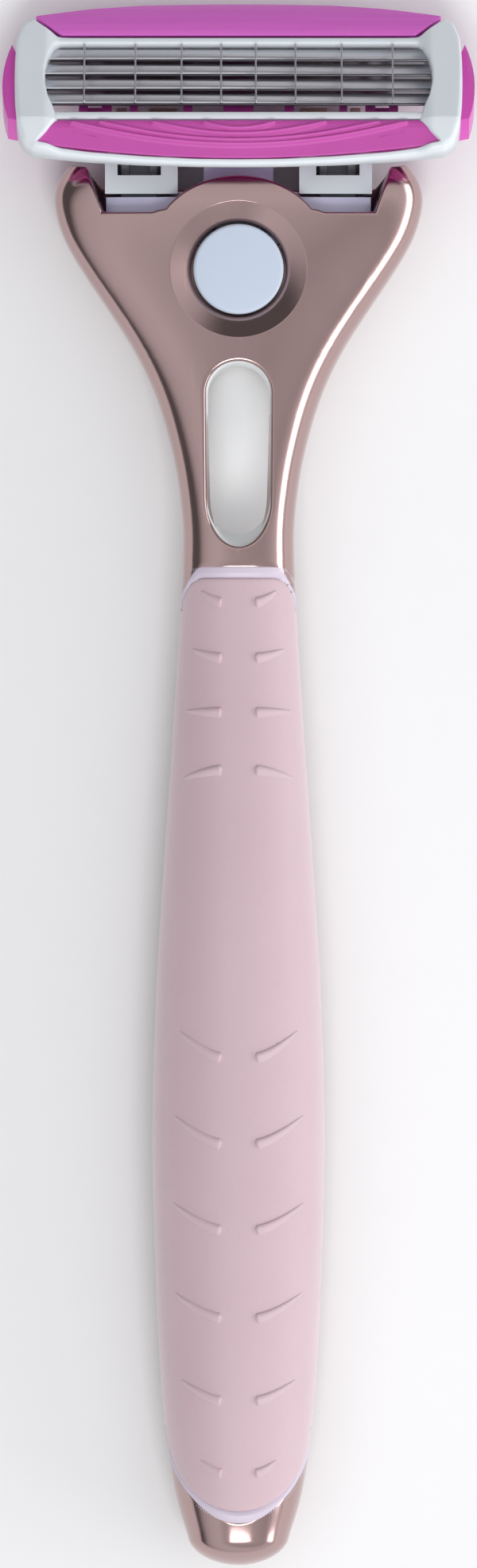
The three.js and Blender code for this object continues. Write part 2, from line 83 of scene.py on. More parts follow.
class Finish:
    # one node material; its shader's uniform values are set on the sockets
    def __init__(self, name, **uniform):
        self.material = bpy.data.materials.new(name)
        self.material.use_nodes = True
        self.tree = self.material.node_tree
        self.shader = self.tree.nodes["Principled BSDF"]
        for socket, value in uniform.items():
            self.shader.inputs[socket].default_value = value
        self.place = self.node("ShaderNodeTexCoord", {}, {}, "Object")

    def node(self, kind, settings, values, output=0):
        made = self.tree.nodes.new(kind)
        for key, value in settings.items():
            setattr(made, key, value)
        for key, value in values.items():
            self.feed(made.inputs[key], value)
        return Signal(self, made.outputs[output])

    def feed(self, socket, value):
        # a signal is linked, and a plain value or colour is set
        if isinstance(value, Signal):
            self.tree.links.new(value.socket, socket)
        elif isinstance(value, tuple) and len(value) == 3 and socket.type == "RGBA":
            socket.default_value = (*value, 1)
        else:
            socket.default_value = value

    def stretched(self, scale):
        # the place multiplied by a scale on each axis, so that a pattern runs along the small one
        return self.node("ShaderNodeMapping", {}, {"Vector": self.place, "Scale": scale})

    def noise(self, size, detail=2.0, roughness=0.5, place=None):
        # a cloudy pattern from 0 to 1, whose features are about this many metres across
        values = {"Vector": place or self.place, "Scale": 1 / size, "Detail": detail}
        return self.node("ShaderNodeTexNoise", {}, {**values, "Roughness": roughness})

    def cells(self, size):
        # the distance to the nearest of many scattered points, in steps of this size
        return self.node("ShaderNodeTexVoronoi", {}, {"Vector": self.place, "Scale": 1 / size})

    def blend(self, factor, first, second):
        # a colour between two colours
        return self.node("ShaderNodeMix", {"data_type": "RGBA"}, {0: factor, 6: first, 7: second}, 2)

    def bump(self, height, depth, under=None):
        # depth is how far, in metres, the height signal stands out
        values = {"Height": height, "Distance": depth}
        if under is not None:
            values["Normal"] = under
        return self.node("ShaderNodeBump", {}, values)

    def done(self, **links):
        # what varies over the surface goes to the shader
        for key, value in links.items():
            name = "Base Color" if key == "colour" else key.capitalize()
            self.feed(self.shader.inputs[name], value)
        return self.material


def metallisedPlastic():
    # vacuum-metallised rose gold: a faint orange peel, hairline wear and slightly uneven tone
    finish = Finish("roseGoldMetallised", **{"Coat Weight": 0.35, "Coat Roughness": 0.04})
    tone = finish.noise(0.012, 3)
    peel = finish.noise(0.0011, 2)
    scuffs = finish.noise(0.0006, 4, 0.7, finish.stretched((1, 0.06, 1)))
    marks = ((scuffs - 0.62) * 5).clamped()
    colour = finish.blend(tone, (0.45, 0.308, 0.30), (0.52, 0.365, 0.352))
    return finish.done(
        colour=finish.blend(marks * 0.25, colour, (0.66, 0.52, 0.49)),
        roughness=0.13 + tone * 0.05 + marks * 0.12,
        metallic=1.0,
        normal=finish.bump(peel, 0.000004),
    )


def softElastomer():
    # pink overmoulded elastomer: fine spark-eroded grain with soft cloudy tone
    finish = Finish("softPinkGrip", **{
        "Sheen Weight": 0.6, "Sheen Roughness": 0.5, "Subsurface Weight": 0.12,
        "Subsurface Radius": (0.004, 0.002, 0.002), "Subsurface Scale": 0.3,
    })
    cloud = finish.noise(0.009, 3)
    grain = finish.noise(0.00016, 3, 0.6)
    pits = finish.cells(0.0003)
    colour = finish.blend(cloud, (0.615, 0.445, 0.49), (0.66, 0.495, 0.535))
    return finish.done(
        colour=finish.blend(grain * 0.25, colour, (0.57, 0.40, 0.45)),
        roughness=0.50 + grain * 0.14,
        normal=finish.bump(grain + pits * 0.5, 0.000014),
    )


def mouldedPlastic(name, light, dark, roughness=0.32, grainDepth=0.000004, coat=0.0):
    # injection-moulded plastic: slow drift of tone, tiny sink marks and a fine mould grain
    finish = Finish(name, **{
        "Coat Weight": coat, "Coat Roughness": 0.12, "Subsurface Weight": 0.06,
        "Subsurface Radius": (0.002, 0.002, 0.002), "Subsurface Scale": 0.2,
    })
    drift = finish.noise(0.006, 3)
    grain = finish.noise(0.00014, 3, 0.6)
    sink = finish.noise(0.0028, 1)
    return finish.done(
        colour=finish.blend(drift, dark, light),
        roughness=roughness - 0.05 + grain * 0.12 + drift * 0.04,
        normal=finish.bump(grain, grainDepth, finish.bump(sink, 0.00002)),
    )


def waxyStrip():
    # water-soluble strip: dusty, waxy surface with extrusion lines along its length
    finish = Finish("lubricatingStripWax", **{
        "Subsurface Weight": 0.2, "Subsurface Radius": (0.003, 0.001, 0.002), "Subsurface Scale": 0.3,
    })
    lines = finish.noise(0.0004, 3, 0.6, finish.stretched((0.03, 1, 1)))
    dust = finish.noise(0.0008, 4, 0.65)
    colour = finish.blend(lines, (0.60, 0.11, 0.52), (0.74, 0.165, 0.64))
    return finish.done(
        colour=finish.blend(((dust - 0.5) * 2).clamped() * 0.3, colour, (0.62, 0.22, 0.55)),
        roughness=0.42 + dust * 0.2,
        normal=finish.bump(lines + dust, 0.00001),
    )


def rolledSteel(name, light, dark, roughness, lineDepth):
    # cold-rolled strip: grain lines run along the blade, with faint heat tint
    finish = Finish(name, **{"Anisotropic": 0.4})
    lines = finish.noise(0.00009, 3, 0.7, finish.stretched((0.012, 1, 1)))
    tint = finish.noise(0.005, 2)
    colour = finish.blend(lines, dark, light)
    return finish.done(
        colour=finish.blend(tint * 0.2, colour, (0.50, 0.47, 0.45)),
        roughness=roughness + lines * 0.14,
        metallic=1.0,
        normal=finish.bump(lines, lineDepth),
    )


# each plastic has its light colour, its dark colour, roughness, grain depth and coat
finishes = {
    "roseGold": metallisedPlastic(),
    "bareRose": mouldedPlastic("bareRosePlastic", (0.50, 0.33, 0.30), (0.43, 0.275, 0.25), 0.45),
    "grip": softElastomer(),
    "rim": mouldedPlastic("paleRimPlastic", (0.70, 0.62, 0.72), (0.63, 0.55, 0.66), 0.34),
    # the frame and the connector are one white plastic in a lit and a shaded copy: the darker copy, worn
    # by the connector and the ejector, is painted shade
    "frame": mouldedPlastic("whiteFramePlastic", (0.79, 0.84, 0.875), (0.72, 0.775, 0.815), coat=0.15),
    "white": mouldedPlastic("whitePlasticShadedCopy", (0.64, 0.69, 0.72), (0.58, 0.635, 0.67), coat=0.15),
    "liner": mouldedPlastic("slotLinerPlastic", (0.90, 0.92, 0.92), (0.84, 0.87, 0.87), 0.35),
    "button": mouldedPlastic("paleButtonPlastic", (0.60, 0.68, 0.80), (0.56, 0.64, 0.765), 0.36,
                             0.000006),
    "lavender": mouldedPlastic("lavenderPlastic", (0.66, 0.64, 0.82), (0.56, 0.55, 0.73), 0.33),
    # the latch arms' charcoal is painted shade: it stands in for the dark, shaded bay behind the
    # connector and its windows
    "grey": mouldedPlastic("latchCharcoalPaintedShade", (0.20, 0.22, 0.22), (0.13, 0.15, 0.15), 0.45, 0.00001),
    "magenta": mouldedPlastic("magentaHousing", (0.73, 0.105, 0.53), (0.60, 0.065, 0.41), 0.3, coat=0.2),
    "guard": mouldedPlastic("guardElastomer", (0.62, 0.09, 0.44), (0.55, 0.07, 0.385), 0.40, 0.00001),
    "strip": waxyStrip(),
    "blade": rolledSteel("bladeSteel", (0.66, 0.66, 0.70), (0.54, 0.54, 0.58), 0.3, 0.000002),
    "spring": rolledSteel("springSteel", (0.34, 0.34, 0.37), (0.2, 0.2, 0.23), 0.32, 0.000006),
}
print("finishes made:", len(finishes))


def addPiece(name, verts, faces, finish, body, stands=()):
    # a smooth-shaded object that rides on a body and stands for the named CAD nodes
    mesh = bpy.data.meshes.new(name)
    mesh.from_pydata(verts.tolist(), [], faces.tolist() if isinstance(faces, np.ndarray) else faces)
    mesh.validate()
    mesh.polygons.foreach_set("use_smooth", np.ones(len(mesh.polygons), bool))
    piece = bpy.data.objects.new(name, mesh)
    bpy.context.scene.collection.objects.link(piece)
    mesh.materials.append(finishes[finish])
    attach(piece, body)
    if stands:
        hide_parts(*stands)
    return piece


def gathered(*axes):
    # one array of places from a value for each axis, all spread over the same grid
    return np.stack(np.broadcast_arrays(*axes), -1)


def gridFaces(rows, columns, closeColumns=False):
    # quads over a grid of points, row by row; closed grids join their last column to the first
    steps = columns - (not closeColumns)
    row, column = np.meshgrid(np.arange(rows - 1), np.arange(steps), indexing="ij")
    after = (column + 1) % columns
    a, b = row * columns + column, row * columns + after
    return gathered(a, b, b + columns, a + columns).reshape(-1, 4)


def mergedMesh(parts, reach=1e-6):
    # several meshes as one, with the points that meet made the same point
    verts = np.concatenate([points.reshape(-1, 3) for points, _ in parts])
    offsets = np.cumsum([0] + [len(points.reshape(-1, 3)) for points, _ in parts[:-1]])
    faces = np.concatenate([quads + offset for (_, quads), offset in zip(parts, offsets)])
    cells = np.round(verts / reach).astype(np.int64)
    _, first, same = np.unique(cells, axis=0, return_index=True, return_inverse=True)
    faces = same.reshape(-1)[faces]
    double = (faces == np.roll(faces, -1, 1)).sum(1)
    return verts[first], faces[double < 2]


def cleanFaces(faces):
    # faces as lists, with repeated corners left out
    return [[int(v) for i, v in enumerate(face) if v != face[i - 1]] for face in faces]


def vertexNormals(verts, faces):
    # the sum of the face normals round each point, made unit length
    corner = verts[faces]
    normal = np.cross(corner[:, 2] - corner[:, 0], corner[:, 3] - corner[:, 1])
    total = np.zeros_like(verts)
    for k in range(4):
        np.add.at(total, faces[:, k], normal)
    return total / np.maximum(np.linalg.norm(total, axis=1, keepdims=True), 1e-20)


def walledShell(verts, faces, wall, roll, steps=4):
    # an open surface as a closed shell: its rim rolls over by a quarter circle, drops, and meets a copy
    # of the surface set in by the wall's thickness
    normal = vertexNormals(verts, faces)
    start = faces.reshape(-1)
    end = np.roll(faces, -1, 1).reshape(-1)
    real = start != end
    start, end = start[real], end[real]
    count = len(verts)
    forward, backward = start * count + end, end * count + start
    edge = ~np.isin(forward, backward)
    start, end = start[edge], end[edge]
    tangent = np.zeros_like(verts)
    along = verts[end] - verts[start]
    np.add.at(tangent, start, along)
    np.add.at(tangent, end, along)
    rim = np.unique(start)
    slotOf = np.zeros(count, int)
    slotOf[rim] = np.arange(len(rim))
    outward = np.cross(tangent[rim], normal[rim])
    outward /= np.maximum(np.linalg.norm(outward, axis=1, keepdims=True), 1e-20)
    angles = np.linspace(0, math.pi / 2, steps + 1)[1:]
    edgeLine, down = verts[rim], normal[rim]
    rings = [edgeLine + outward * roll * math.sin(t) - down * roll * (1 - math.cos(t)) for t in angles]
    rings.append(edgeLine + outward * roll - down * wall)
    levels = [rim] + [count + i * len(rim) + np.arange(len(rim)) for i in range(len(rings))]
    base = count + len(rings) * len(rim)
    levels.append(base + rim)
    a, b = slotOf[start], slotOf[end]
    pairs = zip(levels[:-1], levels[1:])
    strips = [gathered(low[b], low[a], high[a], high[b]) for low, high in pairs]
    allVerts = np.concatenate([verts, *rings, verts - normal * wall])
    allFaces = np.concatenate([faces, *strips, faces[:, ::-1] + base])
    return allVerts, allFaces


def closedPiece(name, parts, finish, body, node, wall, roll=0.1):
    # one surface made of several grids, given its wall in millimetres
    verts, faces = mergedMesh(parts)
    verts, faces = walledShell(verts, faces, wall * mm, roll * mm)
    addPiece(name, verts, cleanFaces(faces), finish, body, [node])


def closedGrid(name, points, finish, body, node, wall, roll=0.1, closeColumns=False):
    # the same from one grid whose columns run clockwise as seen from outside
    faces = gridFaces(*points.shape[:2], closeColumns)[:, ::-1]
    closedPiece(name, [(points, faces)], finish, body, node, wall, roll)


def mirrored(points):
    # x changes its sign and the columns run the other way, so the faces still point outward
    return points[:, ::-1] * np.array([-1.0, 1.0, 1.0])


def bothSides(points):
    # a grid on the right half and its mirror image on the left
    rows, columns = points.shape[:2]
    return [(points, gridFaces(rows, columns)), (mirrored(points), gridFaces(rows, columns))]


def joinedPiece(name, parts, finish, body, stands=()):
    # closed bodies in one piece
    offset, verts, faces = 0, [], []
    for points, quads in parts:
        verts.append(points)
        faces += [[v + offset for v in face] for face in quads]
        offset += len(points)
    return addPiece(name, np.concatenate(verts), faces, finish, body, stands)


def carriedBody(rings, flip=False):
    # an outline carried along a path, a ring for each row, with both ends closed by one face
    rows, columns = rings.shape[:2]
    faces = gridFaces(rows, columns, True)
    low, high = np.arange(columns), rows * columns - 1 - np.arange(columns)
    faces, low, high = (faces, low[::-1], high[::-1]) if flip else (faces[:, ::-1], low, high)
    return rings.reshape(-1, 3), faces.tolist() + [low.tolist(), high.tolist()]


def bodyPair(rings):
    # a carried body on the right and its mirror image on the left
    return [carriedBody(placed(rings)), carriedBody(placed(rings * [-1, 1, 1]), True)]


def turnedBody(profile, centre, sides=96):
    # a profile of (radius, height) points turned about the upright axis; it starts and ends on the axis
    profile = np.array(profile, float)
    inner = profile[1:-1]
    angle = np.linspace(0, 2 * math.pi, sides, endpoint=False)
    rings = gathered(
        inner[:, :1] * np.cos(angle), inner[:, :1] * np.sin(angle), inner[:, 1:],
    ).reshape(-1, 3)
    poles = np.array([[0, 0, profile[0, 1]], [0, 0, profile[-1, 1]]])
    i = np.arange(sides)
    j, last = (i + 1) % sides, (len(inner) - 1) * sides
    lowFan = gathered(len(rings), j, i)
    highFan = gathered(len(rings) + 1, last + i, last + j)
    faces = gridFaces(len(inner), sides, True).tolist() + lowFan.tolist() + highFan.tolist()
    return np.concatenate([rings, poles]) + np.array(centre), faces


def softenedCopy(name, node, finish, body, width, segments=2):
    # the node's own solid with its corners rounded over
    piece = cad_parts[node].copy()
    piece.data = piece.data.copy()
    piece.name = name
    for key in [key for key in piece.keys() if key.startswith("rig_")]:
        del piece[key]
    piece.parent = None
    bpy.context.scene.collection.objects.link(piece)
    shape = bmesh.new()
    shape.from_mesh(piece.data)
    bmesh.ops.remove_doubles(shape, verts=shape.verts, dist=1e-6)
    bmesh.ops.dissolve_limit(shape, angle_limit=math.radians(1), verts=shape.verts, edges=shape.edges)
    shape.to_mesh(piece.data)
    shape.free()
    piece.data.polygons.foreach_set("use_smooth", np.ones(len(piece.data.polygons), bool))
    bevel = piece.modifiers.new("softCorners", "BEVEL")
    bevel.width, bevel.segments, bevel.limit_method = width * mm, segments, "ANGLE"
    bevel.angle_limit = math.radians(32)
    bevel.harden_normals = True
    piece.data.materials.clear()
    piece.data.materials.append(finishes[finish])
    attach(piece, body)
    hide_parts(node)
    return piece


handle = {
    "halfWidth": [(0, 4.1), (2.5, 4.6), (5, 5.45), (9, 6.28), (16, 7.03), (26, 7.58), (40, 7.91),
                  (52, 7.6), (64, 6.9), (78, 5.95), (90, 5.25), (95, 5.12), (100, 5.6), (104, 6.45),
                  (108, 7.7), (112, 9.6), (116, 12.15), (120, 14.8), (123, 16.4), (126.3, 17.1),
                  (128.4, 16.4), (129.3, 15.5)],
    "back": [(0, 1.9), (3, 1.2), (8, 0.2), (15, -0.5), (55, -0.5), (75, 0.8), (92, 1.9), (100, 1.6),
             (110, 0.1), (116, -0.4), (127, -0.3), (129.3, 1.2)],
    "front": [(0, 9.1), (3, 9.7), (8, 11.2), (16, 12.2), (35, 13), (55, 12.4), (75, 10.9), (92, 9.6),
              (100, 9.5), (110, 9.6), (120, 9.6), (126, 9.35), (128.2, 8.9), (129.3, 8.1)],
    "squareness": [(0, 2.2), (90, 2.4), (112, 2.8), (129.3, 3.4)],
    "tipRound": 2.4, "seam": 4.5, "gripTail": 13.0, "gripDrop": 8.8, "gripReach": 6.9, "gripTop": 92.0,
    "gripTopReach": 5.2, "gripCorner": 3.8, "gripCornerDrop": 2.8,
}


def smoothCurve(points, blur=0.9):
    # an even curve through the points: a monotone cubic, then a running average of bell-shaped weight
    x, v = np.array(points, float).T
    slope = np.diff(v) / np.diff(x)
    knot = np.zeros(len(x))
    knot[0], knot[-1] = slope[0], slope[-1]
    same = slope[:-1] * slope[1:] > 0
    both = np.where(same, slope[:-1] + slope[1:], 1)
    knot[1:-1] = np.where(same, 2 * slope[:-1] * slope[1:] / both, 0)
    p = np.arange(x[0] - 6, x[-1] + 6, 0.05)
    inside = np.clip(p, x[0], x[-1])
    i = np.clip(np.searchsorted(x, inside) - 1, 0, len(x) - 2)
    span = x[i + 1] - x[i]
    t = (inside - x[i]) / span
    keep = 2 * t**3 - 3 * t**2 + 1
    rise = knot[i] * (t**3 - 2 * t**2 + t) + knot[i + 1] * (t**3 - t**2)
    value = keep * v[i] + (1 - keep) * v[i + 1] + span * rise
    value += np.where(p < x[0], (p - x[0]) * slope[0], 0)
    value += np.where(p > x[-1], (p - x[-1]) * slope[-1], 0)
    weight = np.exp(-0.5 * (np.arange(-60, 61) * 0.05 / blur) ** 2)
    value = np.convolve(np.pad(value, 60, "edge"), weight / weight.sum(), "valid")
    return lambda place: np.interp(place, p, value)


halfWidthAt = smoothCurve(handle["halfWidth"])
backAt = smoothCurve(handle["back"], 1.5)
frontAt = smoothCurve(handle["front"], 1.2)
squarenessAt = smoothCurve(handle["squareness"], 2)


def tipFactor(y):
    # rounds the tail's end over like a quarter ellipse
    t = np.clip(y / handle["tipRound"], 0, 1)
    return np.sqrt(np.maximum(1 - (1 - t) ** 2, 0))


def sectionPoint(y, angle, lift=0.0):
    # a rounded-rectangle section at each place y: half width and half height times the direction,
    # divided by the direction's own length in the section's norm; lift moves it outward
    tip = tipFactor(y)
    width = halfWidthAt(y) * tip + lift
    middle = (frontAt(y) + backAt(y)) / 2
    height = (frontAt(y) - backAt(y)) / 2 * tip + lift
    n = squarenessAt(y)
    c, s = np.cos(angle), np.sin(angle)
    norm = (np.abs(c) ** n + np.abs(s) ** n) ** (1 / n)
    x, z = width * c / norm, middle + height * s / norm
    z = (z + np.sqrt(z**2 + 0.02)) / 2
    return gathered(x, y, z)


def placed(points):
    # from millimetres above the tail tip to the shared frame
    return points * mm + np.array([0, tailY, 0])


def seamAngle(y, above=0.0):
    # the direction at which the section is this far above the seam, on the right
    middle = (frontAt(y) + backAt(y)) / 2
    height = (frontAt(y) - backAt(y)) / 2
    n = squarenessAt(y)
    m = np.clip((handle["seam"] + above - middle) / height, -0.95, 0.95)
    return np.arctan2(m, (1 - np.abs(m) ** n) ** (1 / n))


def angleAt(x, y, side=1):
    # the direction at which the section has this x, on the front (side 1) or back (side -1)
    n = squarenessAt(y)
    k = np.clip(np.abs(x) / halfWidthAt(y), 0, 1)
    return np.arctan2(side * (1 - k**n) ** (1 / n), k)


def gripTopAt(angle):
    # the grip's upper edge: flat across the front, dropping over a rounded corner toward the sides
    c, s = np.abs(np.cos(angle)), np.abs(np.sin(angle))
    x = handle["gripTopReach"] * c / (c**2.4 + s**2.4) ** (1 / 2.4)
    t = np.clip((x - handle["gripCorner"] + 0.9) / 2.3, 0, 1)
    return handle["gripTop"] - handle["gripCornerDrop"] * t**2.2


def lerp(a, b, t):
    # a plus the share t of the way to b
    return a + (b - a) * t


def smoothStep(t):
    # 3t^2 - 2t^3 between 0 and 1, and level outside
    t = np.clip(t, 0, 1)
    return t * t * (3 - 2 * t)


yoke = {
    # millimetres above the tail tip, half widths and radii
    "slotHalf": 3.35, "slotLow": 98.4, "slotHigh": 108.0, "slotLowReach": 4.7, "slotHighReach": 3.3,
    "buttonY": 119.5, "buttonHole": 4.55, "dishRadius": 6.3, "dishSlope": 0.58,
    "humpRadius": 8.5, "humpTurn": 39, "humpFoot": 7.3, "edge": 124.5, "bayHalf": 12.8,
    "hornX": 14.3, "hornY": 128.9, "split": 112.1, "floorEdge": 127.0, "seamRoom": 0.3,
    "frontLow": 92.2, "frontLowSide": 89.55, "backLow": 14.1,
}
slotEnds = yoke["slotLow"] - yoke["slotLowReach"], yoke["slotHigh"] + yoke["slotHighReach"]
acrossCount = 44


def slotSide(start):
    # the way up the middle line from start to the split, round the right side of the slot
    half = yoke["slotHalf"]
    lowEnd, highEnd = slotEnds
    turn = np.linspace(0, math.pi / 2, 22)
    low = gathered(half * np.sin(turn), yoke["slotLow"] - yoke["slotLowReach"] * np.cos(turn))
    high = gathered(half * np.cos(turn), yoke["slotHigh"] + yoke["slotHighReach"] * np.sin(turn))
    straight = np.linspace(yoke["slotLow"], yoke["slotHigh"], 34)[1:-1]
    straight = gathered(half, straight)
    first = np.linspace(start, lowEnd, max(4, int((lowEnd - start) / 0.8)))[:-1]
    last = np.linspace(highEnd, yoke["split"], 4)[1:]
    return np.concatenate([
        gathered(0, first), low, straight, high, gathered(0, last),
    ])


def neckBlock(start, side, bottom):
    # the right half of the neck: straight rows from the slot's side out to the seam, in direction and
    # place; bottom is where the first row meets the seam
    inner = slotSide(start)
    keys = [start, slotEnds[0], yoke["slotLow"], yoke["slotHigh"], slotEnds[1], yoke["split"]]
    outs = [bottom, 92.6, 98.2, 108.2, 111.4, yoke["split"]]
    outerY = np.interp(inner[:, 1], keys, outs)
    s = np.linspace(0, 1, acrossCount)[None, :]
    y = lerp(inner[:, 1:], outerY[:, None], s)
    innerAngle = angleAt(inner[:, 0], inner[:, 1], side)[:, None]
    return inner, lerp(innerAngle, seamAngle(outerY, yoke["seamRoom"] * side)[:, None], s), y


def frontCover():
    # the section's surface over three blocks of directions and places, each a straight blend between two
    # lines: the neck, a fan from the dish out to the bay, and the flank out to the horn
    low, lowSide = yoke["frontLow"], yoke["frontLowSide"]
    inner, angle, y = neckBlock(low, 1, lowSide)
    fade = np.clip((94.5 - inner[:, 1]) / 2.3, 0, 1)[:, None] ** 1.5
    s = np.linspace(0, 1, acrossCount)[None, :]
    y = y + fade * (gripTopAt(angle[:1]) + 0.2 - lerp(low, lowSide, s))
    neck = sectionPoint(y, angle)

    # the fan and the flank meet on a line up to the bay's corner
    split, button, edge, hornTop = yoke["split"], yoke["buttonY"], yoke["edge"], yoke["hornY"]
    near = 28
    bottomLine = gathered(angle[-1], split)
    t = np.linspace(0, 1, 46)[:, None]
    bayCorner = np.array([float(angleAt(yoke["bayHalf"], edge)), edge])
    seamLine = lerp(bottomLine[near], bayCorner, t)
    t = np.linspace(0, 1, 20)[1:]
    hornX, hornY = lerp(yoke["bayHalf"], yoke["hornX"], t), lerp(edge, hornTop, t)
    hornLine = gathered(angleAt(hornX, hornY), hornY)
    innerLine = np.concatenate([seamLine, hornLine])
    sideY = np.interp(innerLine[:, 1], [split, edge, hornTop], [split, 125.6, 128.9])
    outerLine = gathered(seamAngle(sideY, yoke["seamRoom"]), sideY)
    q = np.linspace(0, 1, acrossCount - near)[None, :, None]
    flank = lerp(innerLine[:, None], outerLine[:, None], q)
    flank[..., 1] += 0.2 * np.sin(q[..., 0] * math.pi) * np.clip((innerLine[:, 1:] - 127) / 2, 0, 1)
    flank = sectionPoint(flank[..., 1], flank[..., 0])

    # the bay's edge and the hump's arc, and the same count of points round the dish
    flatX = np.linspace(yoke["bayHalf"], yoke["humpFoot"], 26)[1:]
    turn = np.linspace(math.radians(yoke["humpTurn"]), math.pi / 2, 40)
    top = np.concatenate([
        gathered(flatX, edge),
        gathered(yoke["humpRadius"] * np.cos(turn), button + yoke["humpRadius"] * np.sin(turn)),
    ])
    top[:, 1] = smoothedLine(top[:, 1], 3)
    topLine = gathered(angleAt(top[:, 0], top[:, 1]), top[:, 1])
    outer = np.concatenate([bottomLine[:near], seamLine, topLine])
    counts = [near, len(seamLine) - 1, len(flatX) + 1, len(turn)]
    stops = np.radians([-90, -50, 33, 47, 90])
    spans = zip(stops, stops[1:], counts)
    phi = np.concatenate([np.linspace(a, b, n, endpoint=False) for a, b, n in spans])
    phi[-1] = math.pi / 2
    circle = gathered(yoke["dishRadius"] * np.cos(phi), button + yoke["dishRadius"] * np.sin(phi))
    start = gathered(angleAt(circle[:, 0], circle[:, 1]), circle[:, 1])
    r = np.linspace(0, 1, 48)[:, None] ** 1.15
    fan = lerp(start[None], outer[None], r[..., None])
    around = sectionPoint(fan[..., 1], fan[..., 0])

    # the dish inside the circle: a cone that starts with a crisp edge
    radius = np.concatenate([np.linspace(yoke["buttonHole"], 6.1, 14), [6.2, 6.25, 6.28]])[:, None]
    x, y = radius * np.cos(phi), button + radius * np.sin(phi)
    dish = sectionPoint(y, angleAt(x, y))
    dish[..., 2] -= yoke["dishSlope"] * (yoke["dishRadius"] - radius)
    dish[:, 0, 0] = dish[:, -1, 0] = 0
    head = np.concatenate([dish, around])[::-1]
    for block in (neck, head):
        block[np.abs(block[:, 0, 0]) < 1e-6, 0, 0] = 0
    blocks = bothSides(placed(neck)) + bothSides(placed(head)) + bothSides(placed(flank))
    closedPiece("front_cover", blocks, "roseGold", "handle", "front_shell", 1.15, 0.28)


def smoothedLine(values, reach):
    # a running average that keeps the two ends
    weight = np.ones(2 * reach + 1) / (2 * reach + 1)
    middle = np.convolve(np.pad(values, reach, "edge"), weight, "valid")
    middle[0], middle[-1] = values[0], values[-1]
    return middle


def backCover():
    # the neck below the split, then rows that rise to the floor's edge and, outside, to the horn
    _, angle, y = neckBlock(yoke["backLow"], -1, yoke["backLow"])
    neck = sectionPoint(y, angle)
    half, split, floorEdge, hornTop = yoke["bayHalf"], yoke["split"], yoke["floorEdge"], yoke["hornY"]
    t = np.linspace(0, 1, 70)[:, None]
    s = np.linspace(0, 1, acrossCount)[None, :]
    edgeX = np.concatenate([np.linspace(0, half, 30), np.linspace(half, yoke["hornX"], 10)[1:]])
    edgeY = np.concatenate([np.full(30, floorEdge), np.linspace(floorEdge, hornTop, 10)[1:]])
    edgeY = smoothedLine(edgeY, 2)
    last = gathered(angleAt(edgeX, edgeY, -1), edgeY)
    tipAngle = seamAngle(hornTop, -yoke["seamRoom"])
    tips = np.linspace(last[-1, 0], tipAngle, acrossCount - len(last) + 1)[1:]
    last = np.concatenate([last, gathered(tips, hornTop)])
    headAngle = lerp(angle[-1][None, :], last[None, :, 0], t)
    headY = lerp(lerp(split, floorEdge, t), lerp(split, hornTop, t), s)
    headY = headY + t**3 * (last[None, :, 1] - lerp(floorEdge, hornTop, s))
    head = sectionPoint(headY, headAngle)
    blocks = bothSides(placed(neck[:, ::-1])) + bothSides(placed(head[:, ::-1]))
    closedPiece("back_cover", blocks, "roseGold", "handle", "back_shell", 1.1, 0.25)


tongues = {
    "spans": [(5.7, 8.3), (10.35, 11.35)], "low": 125.2, "high": 134.8, "bottom": 0.3, "top": 0.9,
    "round": 0.12,
}


def roundedOutline(width, height, radius):
    # half sizes in, a rectangle with quarter-circle corners out, its flats pinned beside the corners
    turn = np.linspace(0, math.pi / 2, 7)
    arc = radius * gathered(np.cos(turn), np.sin(turn)) + [width - radius, height - radius]
    arc = np.concatenate([[(width, height - 1.5 * radius)], arc, [(width - 1.5 * radius, height)]])
    upper = np.concatenate([arc, (arc * [-1, 1])[::-1]])
    return np.concatenate([upper, -upper])


def coverTongues():
    # flat bars under the cartridge: a rounded outline carried along each bar, drawn in at both ends
    radius = tongues["round"]
    turn = np.linspace(0, math.pi / 2, 7)
    inset = np.concatenate([radius * (1 - np.sin(turn)), [0]])
    along = np.concatenate([radius * (1 - np.cos(turn)), [1.5 * radius]])
    inset = np.concatenate([inset, inset[::-1]])[:, None]
    y = np.concatenate([tongues["low"] + along, tongues["high"] - along[::-1]])[:, None]
    thick = (tongues["top"] - tongues["bottom"]) / 2
    parts = []
    for near, far in tongues["spans"]:
        half = (far - near) / 2
        outline = roundedOutline(half, thick, radius)
        x = (near + far) / 2 + outline[None, :, 0] * (1 - inset / half)
        z = tongues["bottom"] + thick + outline[None, :, 1] * (1 - inset / thick)
        parts += bodyPair(gathered(x, y, z))
    joinedPiece("cover_tongues", parts, "bareRose", "handle")


frontCover()
backCover()
coverTongues()
print("covers made")


def gripEdge(x, growth=0.0):
    # the grip's U-shaped lower edge: an ellipse that's grown by a distance
    reachX, reachY = handle["gripReach"] + growth * 0.3, handle["gripDrop"] + growth
    return handle["gripTail"] - reachY * np.sqrt(np.clip(1 - (x / reachX) ** 2, 0, 1))


def gripTop(x, growth=0.0):
    # the grip's upper edge: flat, then a rounded corner down to the sides
    t = np.clip((np.abs(x) - handle["gripCorner"] - growth / 2) / 1.5, 0, 1.3)
    corner = 1 - np.sqrt(np.clip(1 - (t / 1.3) ** 2, 0, 1))
    return handle["gripTop"] + growth - handle["gripCornerDrop"] * corner


def gripPatch(growth, low, rows, columns, lift=0.0):
    # points over the grip's outline, grown by a distance, from the height low on one side to the other
    t = np.linspace(0, 1, rows)[:, None]
    s = np.linspace(0, 1, columns)[None, :]
    y = lerp(8.0, 88.0, t) + 0 * s
    for _ in range(4):
        n = squarenessAt(y)
        middle, height = (frontAt(y) + backAt(y)) / 2, (frontAt(y) - backAt(y)) / 2
        m = np.clip((low - middle) / height, -0.9, 0.9)
        side = np.arctan2(m, (1 - np.abs(m) ** n) ** (1 / n))
        angle = lerp(side, math.pi - side, s)
        x = sectionPoint(y, angle)[..., 0]
        y = lerp(gripEdge(x, growth), gripTop(x, growth), t)
    return sectionPoint(y, angle, lift), angle, y


